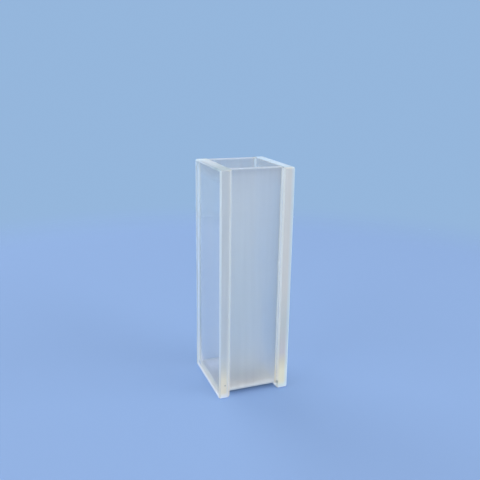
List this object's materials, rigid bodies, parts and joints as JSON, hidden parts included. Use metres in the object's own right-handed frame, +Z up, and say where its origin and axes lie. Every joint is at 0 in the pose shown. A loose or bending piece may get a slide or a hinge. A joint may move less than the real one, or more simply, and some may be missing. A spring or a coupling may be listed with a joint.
{
  "type": "cuvette",
  "caption": "Open-topped glass sample cell bonded from flat plates, with clear polished windows on two sides and milky ground walls between them.",
  "frame": {"origin": "middle of the footprint, on the plane that the windows' feet stand on", "axes": "+Z up through the open rim, X along the light path through the two windows, -Y out of the front ground wall"},
  "size_m": [0.0144, 0.0154, 0.045],
  "materials": {
    "polished_glass": "clear and polished, with white ground edges",
    "ground_glass": "ground, milky and translucent"
  },
  "bodies": {
    "root": {"window_left": "polished_glass", "window_right": "polished_glass", "ground_wall_front": "ground_glass", "ground_wall_back": "ground_glass", "floor_plate": "ground_glass"}
  },
  "joints": []
}
